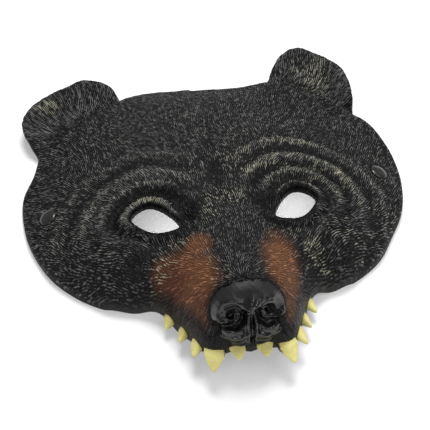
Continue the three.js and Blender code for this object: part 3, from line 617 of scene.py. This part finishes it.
# Height of the rivet's middle and the way it faces
def rivetFrame(side):
    x, y, reach = rivet["place"][0] * halfWidth, along(rivet["place"][1]), rivet["cap"] / 2
    x4, y4 = x + reach * np.array([1, 0, -1, 0]), y + reach * np.array([0, 1, 0, -1])
    level = outerSkin(x4, y4)
    normal = Vector((-(level[0] - level[2]) / (2 * reach) * side, -(level[1] - level[3]) / (2 * reach), 1))
    return Vector((x * side, y, level.mean())), normal.normalized()


rivets = {side: rivetFrame(side) for side in (1, -1)}


# The foam is pressed flat under a cap and swells a little round it
def withRivetSeats(height, x, y):
    for middle, normal in rivets.values():
        plane = middle.z - ((x - middle.x) * normal.x + (y - middle.y) * normal.y) / normal.z
        away = np.hypot(x - middle.x, y - middle.y)
        seat = rivet["cap"] / 2 + rivet["fit"]
        height = np.where(away < seat, plane - rivet["sink"], height)
        rise, gap, width = rivet["swell"]
        height = height + rise * bump(away - seat - gap, width) * (away >= seat)
    return height


def frontHeight(x, y):
    edge = maskDistance(x, y)
    away = np.minimum(*(np.hypot(x - m.x, y - m.y) for m, _ in rivets.values()))
    calm = smooth(0.4, 2.5, edge) * smooth(6, 8.5, away) * (0.3 + 0.7 * smooth(2, 6, eyeReach(x, y)[0]))
    skin = outerSkin(x, y)
    steep = np.minimum(steepness(outerSkin, x, y), 2.2)
    raised = skin + (furAt(x, y) - fur["level"]) * fur["relief"] * calm * steep
    rim = face["rimRound"]
    rolled = rim * (1 - np.sqrt(1 - (1 - np.clip(edge / rim, 0, 1)) ** 2))
    return withRivetSeats(raised, x, y) - rolled


def shellPiece():
    margin = face["margin"]
    low, high = (-halfWidth - margin, -face["chinReach"] - margin), (halfWidth + margin, face["earReach"])
    front, frontFaces = clippedSheet(face["frontStep"], low, high, maskDistance)
    back, backFaces = clippedSheet(face["backStep"], low, high, maskDistance)
    inner = np.maximum(innerSkin(*back.T), 0)
    inner = np.minimum(inner, outerSkin(*back.T) - face["leastWall"])
    places = np.concatenate([np.column_stack([front, frontHeight(*front.T)]), np.column_stack([back, inner])])
    frontRings, backRings = edgeRings(frontFaces), edgeRings(backFaces)
    backRings = [[k + len(front) for k in ring] for ring in backRings]
    faces = [frontFaces, backFaces[:, ::-1] + len(front)]
    # the outline and both eyes are closed by a band from the outer to the inner skin
    for ring in frontRings[:3]:
        middle = places[ring].mean(0)
        other = min(backRings[:3], key=lambda r: np.linalg.norm(places[r].mean(0)[:2] - middle[:2])
                    + 9 * abs(len(r) * 4.5 - len(ring)) / len(ring))
        faces.append(np.array(zipped(ring, other, places[:, :2])))
    x, y = places[:, 0], places[:, 1]
    noise = softNoise(21, x, y, 5) * 0.5 + softNoise(22, x, y, 2.2) * 0.35
    reach, eyeAngle = eyeReach(x, y)
    # bare black foam round the eyes, along the lip and next to the nose
    band = np.where(x > 0, 1.5, -0.5) * smooth(15, 60, eyeAngle) + 1.4 * smooth(-15, -50, eyeAngle)
    lid = 1 - smooth(1.4, 2.6, reach + noise * 0.5 - band)
    lip = (1 - smooth(2, 6, maskDistance(x, y) + noise)) * smooth(-50, -68, y)
    up = (y - noseCentre[1]) * noseUp[1] + (places[:, 2] - noseCentre[2]) * noseUp[2]
    nearNose = smooth(-3.5, 0, insideDistance(noseLoop, x, up)) * (y < along(-0.65))
    shift = (x + 1.5 * noise, y + 1.5 * softNoise(23, x, y, 5))
    attributes = {label: painted(rows, *shift) for label, rows in paint.items()}
    attributes["inkAndShade"] = np.maximum.reduce([attributes["inkAndShade"], lid, lip * 0.9, nearNose])
    # dust on the folds' crests, less on the left and below the eyes
    seen = np.maximum(smooth(-22, 25, eyeAngle), 0.35 * (reach < 8))
    fold = np.where(reach < 48, foldHeight(x, y), 0) * seen
    foldDust = smooth(0.2, 1.5, fold) * np.where(x > 0, 0.42, 0.22) * (y > -52)
    foldDust = foldDust * np.where(eyeAngle > 5, 1, smooth(6, 9, reach))
    attributes["dust"] = np.maximum(attributes["dust"], foldDust)
    attributes["fur"] = np.concatenate([furAt(*front.T), np.full(len(back), fur["level"])])
    attributes["angle"] = np.radians(np.mod(furAngle(x, y) + 90, 360) - 90)
    attributes["fold"] = fold
    attributes["behind"] = np.concatenate([np.zeros(len(front)), np.ones(len(back))])
    return makePiece("face_shell", toModel(*places.T), np.concatenate(faces), attributes, backRings[:3])


shell = shellPiece()
print("shell", len(shell.data.polygons))


# How far the front of the nose stands out, u to the right and v up across it
def noseRelief(u, v, edge):
    crest = curveAt(*zip(*nose["crest"]), v / (nose["height"] / 2))
    w = nose["bulge"] * (crest - 1.3 * np.abs(u / (nose["width"] / 2)) ** 2.2)
    w -= nose["edge"] * (1 - smooth(0, 5.5, edge))
    middle = u - nose["middleLine"]
    side, (offset, level) = np.sign(middle), nose["nostril"]
    w += nose["padStep"] * (smooth(1.2, 3.6, v + 0.015 * middle ** 2) - 0.5) * smooth(0, 3, edge)
    w += 0.9 * bump(np.hypot(np.abs(middle) - 9, v - 8.5), 5)
    w -= 0.8 * bump(middle, 3) * smooth(2, 6, v)
    # nostrils: a ring round a hollow, a slit with a hook below, a curl inside and wings outside
    outward, rise = (np.abs(middle) - offset) / nose["ring"][0], (v - level) / nose["ring"][1]
    away, turn = np.hypot(outward, rise), np.degrees(np.arctan2(rise, outward))
    w += 1.8 * bump(away - 6.3, 1.45) * (1 - smooth(150, 175, np.abs(turn + 160)) * 0.4)
    w -= 1.2 * (1 - smooth(3.5, 6.0, away))
    low = -4.8 + 0.02 * outward ** 2
    slit = bump(rise - low, 1.25) * smooth(-3, 0, outward) * (1 - smooth(7.5, 10.5, outward))
    line = bump(away - 4.7, 1.1)
    hook = line * smooth(-125, -90, turn) * (outward < 0) + line * (turn < -90)
    w -= 3.2 * np.maximum(slit, np.minimum(hook, 1) * (1 - smooth(1.5, 3, rise)))
    curl = away - 0.8 - np.mod(np.radians(turn + 200), 2 * math.pi) * 0.55
    hole = np.where(side < 0, bump(away, 2.2) * 0.55, bump(np.hypot(outward - 0.8, rise), 2.6))
    w -= nose["nostrilDepth"] * hole
    w += np.where(side < 0, 1.5, 0.5) * bump(curl, 0.6) * (away < 4.4)
    w += 1.5 * bump(away - 9.4, 1.15) * (turn > -150) * smooth(-40, -62, turn)
    w -= 0.9 * bump(away - 12.2, 1.3) * smooth(-30, -70, turn) * (turn > -150)
    # groove down the middle, then wrinkles and grain
    below = smooth(1.5, -2.5, v)
    w -= nose["grooveDepth"] * bump(middle, 0.9) * below
    w += bump(np.abs(middle) - 2.0, 0.9) * below
    w -= 1.2 * bump(np.abs(middle) - 4.2, 1.2) * below * smooth(-17, -12, v)
    w -= 1.1 * bump(middle, 2.2) * smooth(-14, -18.5, v)
    w += 0.45 * softNoise(33, u, v, 1.0) * bump(np.hypot(u - 9.2, v - 8.8), 2.6)
    w += 0.6 * bump(u + 6.2 + (v - 8) * 0.4, 0.9) * bump(v - 8.5, 4)
    grain = np.where(middle > 0, 0.16, 0.09) * softNoise(31, u, v, 1.3)
    return w + grain + 0.2 * softNoise(32, u, v, 4.5)


def nosePiece():
    reach = nose["width"] / 2 + 2
    flat, faces = clippedSheet(nose["step"], (-reach, -reach), (reach, reach),
                               lambda u, v: insideDistance(noseLoop, u, v))
    edge = insideDistance(noseLoop, *flat.T)
    w = noseRelief(*flat.T, edge)
    ring = edgeRings(faces)[0]
    places, band = [np.column_stack([flat, w])], [faces]
    before = ring
    for k, (level, size) in enumerate(nose["behind"]):
        start = len(flat) + k * len(ring)
        places.append(np.column_stack([flat[ring] * size, np.full(len(ring), float(level))]))
        after = list(range(start, start + len(ring)))
        for a, b, c, d in zip(before, np.roll(before, -1), after, np.roll(after, -1)):
            band.append(np.array([(b, a, c), (b, c, d)]))
        before = after
    hub = len(flat) + len(nose["behind"]) * len(ring)
    places.append(np.array([[0, 0, nose["behind"][-1][0]]]))
    band.append(np.array([(b, a, hub) for a, b in zip(before, np.roll(before, -1))]))
    u, v, w = np.concatenate(places).T
    middle = noseCentre[:, None] + np.outer([1, 0, 0], u) + np.outer(noseUp, v) + np.outer(noseOut, w)
    return makePiece("glossy_nose", toModel(*middle), np.concatenate(band), {"bevel": smooth(7, 12.5, v)})


nosePart = nosePiece()
print("nose", len(nosePart.data.polygons))

rightLip = faceLoop[teeth["corner"] * perSpan:len(faceLoop) // 2 + 1][::-1]


def lipPoint(share):
    steps = np.linalg.norm(np.diff(rightLip, axis=0), axis=1)
    reach = np.concatenate([[0], np.cumsum(steps)])
    i = min(int(np.searchsorted(reach, share * reach[-1], side="right")) - 1, len(steps) - 1)
    t = (share * reach[-1] - reach[i]) / steps[i]
    return rightLip[i] + (rightLip[i + 1] - rightLip[i]) * t, (rightLip[i + 1] - rightLip[i]) / steps[i]


# Triangles between rings of points that follow each other
def tubeFaces(rings, sides):
    faces = []
    for k in range(rings - 1):
        for s in range(sides):
            a, b = k * sides + s, k * sides + (s + 1) % sides
            faces += [(a, b, b + sides), (a, b + sides, a + sides)]
    return faces


# A tooth with a flattened front, leaning outward to a blunt tip
def toothPiece(name, side):
    where, wide, long, splay, drop = teeth["kinds"][name]
    (x, y), run = lipPoint(where)
    width, length = wide * teeth["width"], long * teeth["length"]
    top = float(outerSkin(np.array([x]), np.array([y]))[0])
    bottom = max(float(innerSkin(np.array([x]), np.array([y]))[0]), 0)
    thick = (top - bottom) * teeth["depth"]
    out = np.array([run[1], -run[0], 0])
    if out[1] > 0:
        out = -out
    root = np.array([x, y, (top + bottom) / 2]) - out * teeth["set"]
    tip = np.array([x + splay * length, y - length, root[2] - drop * length])
    across = np.array([root[1] - tip[1], tip[0] - root[0], 0])
    across = across / np.linalg.norm(across)
    rng = np.random.default_rng(int(where * 1000) + side)
    rings, sides = teeth["rings"], teeth["sides"]
    rows = []
    for k in range(rings):
        t = k / (rings - 1)
        size = np.interp(t, *teeth["taper"])
        middle = root + (tip - root) * t
        for s in range(sides):
            turn = s / sides * 2 * math.pi
            over, up = math.cos(turn), math.sin(turn)
            up = np.sign(up) * abs(up) ** (1.6 if up > 0 else 0.8) * (0.8 if up > 0 else 1)
            wobble = 1 + 0.03 * math.sin(5 * t + turn * 2 + rng.uniform(0, 0.3))
            rows.append(middle + across * over * width * size / 2 * wobble
                        + np.array([0, 0, up * thick * size / 2 * wobble]))
    rows = np.array(rows)
    faces = tubeFaces(rings, sides)
    last = (rings - 1) * sides
    faces += [(0, s + 1, s) for s in range(1, sides - 1)]
    faces += [(last, last + s, last + s + 1) for s in range(1, sides - 1)]
    faces = np.array(faces)
    inward = (rows - (root + (tip - root) * np.repeat(np.arange(rings) / (rings - 1), sides)[:, None]))
    inward = -(inward @ across) / (width / 2)
    under = np.tile(np.sin(np.arange(sides) / sides * 2 * math.pi), rings)
    rows[:, 0] *= side
    if side < 0:
        faces = faces[:, ::-1]
    return makePiece(f"tooth_{name}_{wordOf[side]}", toModel(*rows.T), faces,
                     {"inward": inward, "under": -under})


toothPieces = [(f"tooth_{name}_{wordOf[side]}", toothPiece(name, side))
               for side in (1, -1) for name in teeth["kinds"]]
print("teeth", len(toothPieces))


# Domed cap, post and flat back head turned about the rivet's axis
def rivetPiece(side):
    middle, normal = rivets[side]
    cap, post, back = rivet["cap"] / 2, rivet["post"] / 2, rivet["back"] / 2
    sink, fit = rivet["sink"], rivet["fit"]
    top = -sink + fit
    bottom = -sink - (face["wall"] - 2 * sink) - fit
    under, bevel = bottom - rivet["backThickness"], rivet["bevel"]
    profile = [(0, under), (back - bevel, under), (back, under + bevel), (back, bottom), (post, bottom),
               (post, top), (cap - 0.1, top)]
    for k in range(rivet["domeRings"]):
        t = k / (rivet["domeRings"] - 1)
        level = 0.12 + 0.88 * math.sin(t * math.pi / 2)
        profile.append((cap * math.cos(t * math.pi / 2) ** 0.75, top + rivet["dome"] * level))
    profile[-1] = (0, top + rivet["dome"])
    turn = Vector((0, 0, 1)).rotation_difference(normal)
    places, sides = [], rivet["sides"]
    for radius, height in profile:
        for s in range(sides):
            a = s / sides * 2 * math.pi
            places.append(turn @ Vector((radius * math.cos(a), radius * math.sin(a), height)) + middle)
    places = (np.array(places) + face["offset"]) * mm
    rings = [list(range(k * sides, (k + 1) * sides)) for k in range(2, 7)]
    return makePiece(f"rivet_{wordOf[side]}", places, tubeFaces(len(profile), sides), sharpRings=rings)


rivetPieces = [(f"rivet_{wordOf[side]}", rivetPiece(side)) for side in (1, -1)]
print("rivets", len(rivetPieces))


# A node's output that can stand in sums; make() adds any other node to the same tree
class Wire:
    def __init__(self, tree, socket=None):
        self.tree, self.socket = tree, socket

    def make(self, kind, settings, values, output=0):
        node = self.tree.nodes.new(kind)
        for key, value in settings.items():
            setattr(node, key, value)
        for key, value in values.items():
            if isinstance(value, Wire):
                self.tree.links.new(value.socket, node.inputs[key])
            else:
                node.inputs[key].default_value = value
        return Wire(self.tree, node.outputs[output] if node.outputs else None)

    def sum(self, operation, *others):
        return self.make("ShaderNodeMath", {"operation": operation}, dict(enumerate((self, *others))))

    def __add__(self, other):
        return self.sum("ADD", other)

    def __sub__(self, other):
        return self.sum("SUBTRACT", other)

    def __rsub__(self, other):
        return self.make("ShaderNodeMath", {"operation": "SUBTRACT"}, {0: other, 1: self})

    def __mul__(self, other):
        return self.sum("MULTIPLY", other)

    def read(self, name):
        return self.make("ShaderNodeAttribute", {"attribute_name": name}, {}, output=2)

    def between(self, low, high, start=0.0, end=1.0):
        values = {0: self, 1: low, 2: high, 3: start, 4: end}
        return self.make("ShaderNodeMapRange", {"interpolation_type": "SMOOTHSTEP"}, values)

    # First colour where this is 0, second where it is 1
    def mix(self, first, second):
        return self.make("ShaderNodeMix", {"data_type": "RGBA"}, {0: self, 6: first, 7: second}, output=2)


def colour(red, green, blue):
    return (red, green, blue, 1)


def newMaterial(name):
    material = bpy.data.materials.new(name)
    material.use_nodes = True
    material.node_tree.nodes.clear()
    return material, Wire(material.node_tree)


def objectPlace(sheet):
    return sheet.make("ShaderNodeTexCoord", {}, {}, output=3)


def noise(sheet, where, scale, detail=3.0):
    return sheet.make("ShaderNodeTexNoise", {}, {"Vector": where, "Scale": scale, "Detail": detail,
                                                 "Roughness": 0.55})


def bumped(sheet, height, strength, distance):
    return sheet.make("ShaderNodeBump", {}, {"Strength": strength, "Distance": distance, "Height": height})


def finishMaterial(sheet, values):
    surface = sheet.make("ShaderNodeBsdfPrincipled", {}, values)
    sheet.make("ShaderNodeOutputMaterial", {}, {"Surface": surface})


foam = {
    # The darkest colour is painted shade between the hairs and in the fold valleys, and also the black of the
    # ink; the hair colour is the foam's grey lifted by painted highlight on the raised strands
    "grooveShadeAndInk": colour(0.0025, 0.0025, 0.0027), "hair": colour(0.145, 0.145, 0.142),
    # The crest colour is painted highlight on the crests of the folds
    "crest": colour(0.21, 0.204, 0.178), "dust": colour(0.32, 0.308, 0.225),
    "tan": colour(0.38, 0.165, 0.072), "rust": colour(0.21, 0.068, 0.038),
    # The dark tan is painted shade between the hairs of the tan and rust patches
    "tanGrooveShade": colour(0.03, 0.01, 0.006), "back": colour(0.02, 0.019, 0.018),
    "hairPitch": 0.00108,  # across the finest hairs
    "patch": 0.0025,  # within which they keep one direction
}


def foamMaterial():
    material, sheet = newMaterial("moulded foam")
    where = objectPlace(sheet)
    across = sheet.read("angle") + math.pi / 2
    patch = foam["patch"]
    hair = sheet.make("ShaderNodeTexGabor", {"gabor_type": "2D"}, {
        "Vector": where, "Scale": 1 / patch, "Frequency": patch / foam["hairPitch"], "Anisotropy": 1.0,
        "Orientation": across})
    fine = noise(sheet, where, 700.0, 2.0)
    mottle = noise(sheet, where, 60.0)
    ridge = sheet.read("fur").between(0.25, 0.9)
    strand = (hair - 0.5) * 3.2 + fine.between(0.3, 0.7) * 0.4 + 0.3
    fold = sheet.read("fold")
    # Raised strands take painted highlight, the hollows between them painted shade
    hairHighlight = (strand * 0.62 + ridge * 0.6 + fold * 0.1).between(0.42, 1.1)
    base = hairHighlight.mix(foam["grooveShadeAndInk"], foam["hair"])
    # Painted highlight on the crests of the folds round the eyes, painted shade in their valleys
    crest = fold.between(0.1, 1.6)
    base = (crest * hairHighlight * 0.7).mix(base, foam["crest"])
    foldValleyShade = fold.between(-0.3, -1.6)
    base = (foldValleyShade * 0.7).mix(base, foam["grooveShadeAndInk"])
    # In the tan and rust patches too, painted highlight on the strands and painted shade between them
    grain = hairHighlight * 0.75 + 0.25
    base = sheet.read("tan").mix(base, grain.mix(foam["tanGrooveShade"], foam["tan"]))
    base = (sheet.read("rust") * 0.8).mix(base, grain.mix(foam["tanGrooveShade"], foam["rust"]))
    dust = sheet.read("dust")
    caught = (dust * 1.1 + hairHighlight * 1.1 + mottle * 0.6 - 1.25).between(0.0, 0.8) * dust.between(0.0, 0.3)
    base = (caught * 0.85).mix(base, foam["dust"])
    # Black ink on the lids and lip, and painted shade in the inner eye corners and creases
    inkAndShade = sheet.read("inkAndShade")
    base = inkAndShade.mix(base, foam["grooveShadeAndInk"])
    base = sheet.read("behind").mix(base, foam["back"])
    rough = 0.6 - hairHighlight * 0.18 - inkAndShade * 0.22 + caught * 0.1
    relief = bumped(sheet, strand * 0.7 + ridge * 0.3, 0.9, 0.0007)
    finishMaterial(sheet, {"Base Color": base, "Roughness": rough, "Normal": relief,
                           "Specular IOR Level": 0.16})
    return material


nosePaint = {
    "black": colour(0.002, 0.002, 0.0024), "speck": colour(0.008, 0.008, 0.009),
    "bevel": colour(0.014, 0.014, 0.014), "coat": 0.35,
}


def noseMaterial():
    material, sheet = newMaterial("glossy nose paint")
    where = objectPlace(sheet)
    grain = noise(sheet, where, 900.0, 2.0)
    waves = noise(sheet, where, 190.0, 2.0)
    bevel = sheet.read("bevel")
    base = grain.mix(nosePaint["black"], nosePaint["speck"])
    base = (bevel * 0.6).mix(base, nosePaint["bevel"])
    relief = bumped(sheet, grain * 0.4 + waves, 0.5, 0.0005)
    rough = waves.between(0.3, 0.7, 0.13, 0.27) + bevel * 0.4
    coat = nosePaint["coat"] - bevel * nosePaint["coat"]
    finishMaterial(sheet, {"Base Color": base, "Roughness": rough, "Normal": relief, "Coat Weight": coat,
                           "Coat Roughness": 0.14, "Specular IOR Level": 0.3})
    return material


toothPaint = {
    "cream": colour(0.76, 0.70, 0.25), "ochre": colour(0.62, 0.54, 0.18),
    "speck": colour(0.75, 0.72, 0.38), "foam": colour(0.008, 0.008, 0.008),
}


# Paint that leaves the foam bare below and along the inward side
def toothMaterial():
    material, sheet = newMaterial("tooth paint")
    where = objectPlace(sheet)
    grain = noise(sheet, where, 700.0)
    patches = noise(sheet, where, 150.0)
    cream = patches.between(0.35, 0.7).mix(toothPaint["cream"], toothPaint["ochre"])
    cream = (grain.between(0.45, 0.75) * 0.35).mix(cream, toothPaint["speck"])
    ragged = patches * 0.8 - 0.4
    bare = (sheet.read("under") + ragged).between(0.0, 0.35)
    sided = (sheet.read("inward") + ragged).between(0.74, 0.95)
    bare = bare.sum("MAXIMUM", sided)
    base = bare.mix(cream, toothPaint["foam"])
    relief = bumped(sheet, grain + patches, 0.5, 0.0004)
    finishMaterial(sheet, {"Base Color": base, "Roughness": bare.between(0, 1, 0.6, 0.45), "Normal": relief})
    return material


def capMaterial():
    material, sheet = newMaterial("glossy cap")
    where = objectPlace(sheet)
    wear = noise(sheet, where, 350.0)
    base = wear.mix(colour(0.010, 0.010, 0.010), colour(0.022, 0.021, 0.020))
    rough, relief = wear.between(0.3, 0.7, 0.18, 0.32), bumped(sheet, wear, 0.15, 0.0003)
    finishMaterial(sheet, {"Base Color": base, "Roughness": rough, "Normal": relief,
                           "Coat Weight": 0.2, "Coat Roughness": 0.12, "Specular IOR Level": 0.35})
    return material


def dress(piece, material, node):
    piece.data.materials.append(material)
    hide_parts(node)
    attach(piece, "root")


dress(shell, foamMaterial(), "mask_shell")
dress(nosePart, noseMaterial(), "nose")
toothCream, capGloss = toothMaterial(), capMaterial()
for node, piece in toothPieces:
    dress(piece, toothCream, node)
for node, piece in rivetPieces:
    dress(piece, capGloss, node)
print("dressed")

room = {
    "floor": 0.75, "glow": 0.27, "world": 0.27,
    "key": {"place": (0.12, 0.5, 1.0), "size": 0.6, "power": 13},
    "fill": {"place": (0.6, -0.3, 0.9), "size": 0.8, "power": 3},
    "front": {"place": (-0.45, -0.75, 0.55), "size": 0.35, "power": 1.6},
    # small lamps under the shell, facing the floor seen through the eyes
    "underEyes": {"places": ((0.043, -0.004, 0.024), (-0.028, -0.008, 0.024)), "size": 0.016,
                  "power": 0.0045},
}


def areaLamp(name, kind, place):
    data = bpy.data.lights.new(name, "AREA")
    data.shape, data.size, data.energy = "DISK", kind["size"], kind["power"]
    lamp = linked(name, data)
    lamp.location = place
    return lamp


def makeRoom():
    mesh = bpy.data.meshes.new("floor")
    reach = 6
    corners = [(-reach, -reach, 0), (reach, -reach, 0), (reach, reach, 0), (-reach, reach, 0)]
    mesh.from_pydata(corners, [], [(0, 1, 2, 3)])
    floor = linked("floor", mesh)
    material, sheet = newMaterial("pale floor")
    shade = room["floor"]
    finishMaterial(sheet, {"Base Color": colour(shade, shade, shade), "Roughness": 0.8,
                           "Emission Color": colour(1, 1, 1), "Emission Strength": room["glow"]})
    mesh.materials.append(material)
    staged = [floor]
    for name in ("key", "fill", "front"):
        place = room[name]["place"]
        lamp = areaLamp(name, room[name], place)
        lamp.rotation_euler = Vector(place).to_track_quat("Z", "Y").to_euler()
        staged.append(lamp)
    staged += [areaLamp("under eye", room["underEyes"], place) for place in room["underEyes"]["places"]]
    world = bpy.data.worlds.new("white room")
    world.use_nodes = True
    background = world.node_tree.nodes["Background"]
    background.inputs["Color"].default_value = (1, 1, 1, 1)
    background.inputs["Strength"].default_value = room["world"]
    scene.world = world
    scene.view_settings.view_transform = "Standard"


makeRoom()
